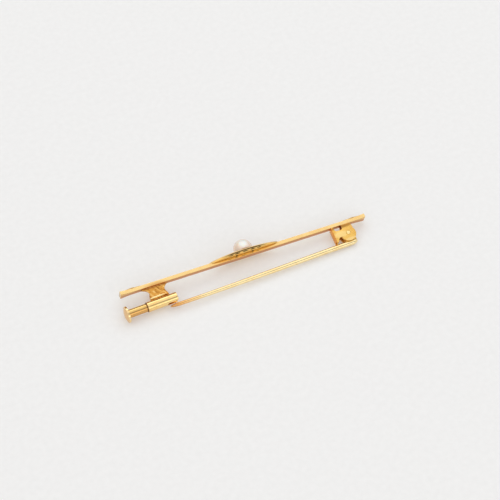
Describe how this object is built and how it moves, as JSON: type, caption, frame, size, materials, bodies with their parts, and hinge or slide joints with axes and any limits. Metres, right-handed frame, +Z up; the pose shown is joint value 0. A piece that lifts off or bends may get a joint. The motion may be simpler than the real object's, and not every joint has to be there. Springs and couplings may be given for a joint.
{
  "type": "bar brooch",
  "caption": "Slim gold bar brooch with a pearl on a pierced oval plaque, a hinged pin on the back and a sliding tube catch that covers the pin's point.",
  "frame": {"origin": "centre of the bounding box's bottom face, on the surface that the brooch lies on", "axes": "+X along the bar from the catch to the hinge, +Y towards the pearled front, +Z up from the surface"},
  "size_m": [0.0546, 0.0094, 0.0044],
  "materials": {
    "gold_bar": "polished",
    "gold_plaque": "polished, pierced",
    "gold_plate": "satin, tool-marked",
    "gold_tube": "polished",
    "gold_plunger": "polished, drawn",
    "gold_bracket": "satin",
    "gold_pin": "polished, drawn",
    "pearl_nacre": "lustrous"
  },
  "bodies": {
    "brooch": {"bar": "gold_bar", "plaque": "gold_plaque", "plaque_rim": "gold_plaque", "pearl": "pearl_nacre", "pearl_cup": "gold_plaque", "pearl_peg": "gold_plaque", "left_end_leaf": "gold_bar", "right_end_leaf": "gold_bar", "catch_plate": "gold_plate", "catch_tube": "gold_tube", "stop_pip": "gold_plate", "hinge_bracket": "gold_bracket", "hinge_rivet": "gold_bracket"},
    "plunger": {"plunger_tube": "gold_plunger", "thumb_disc": "gold_plunger"},
    "pin": {"pin_stem": "gold_pin", "pin_tongue": "gold_bracket"}
  },
  "joints": [
    {"name": "pin_hinge", "type": "hinge", "parent": "brooch", "child": "pin", "pos_m": [0.02243, -0.00123, 0.00118], "axis": [0.0171, -0.1972, 0.9802], "range_deg": [-2.28, 90]},
    {"name": "plunger_slide", "type": "slide", "parent": "brooch", "child": "plunger", "axis": [0.9994, 0.0342, -0.0106], "range_m": [0, 0.0039]}
  ]
}
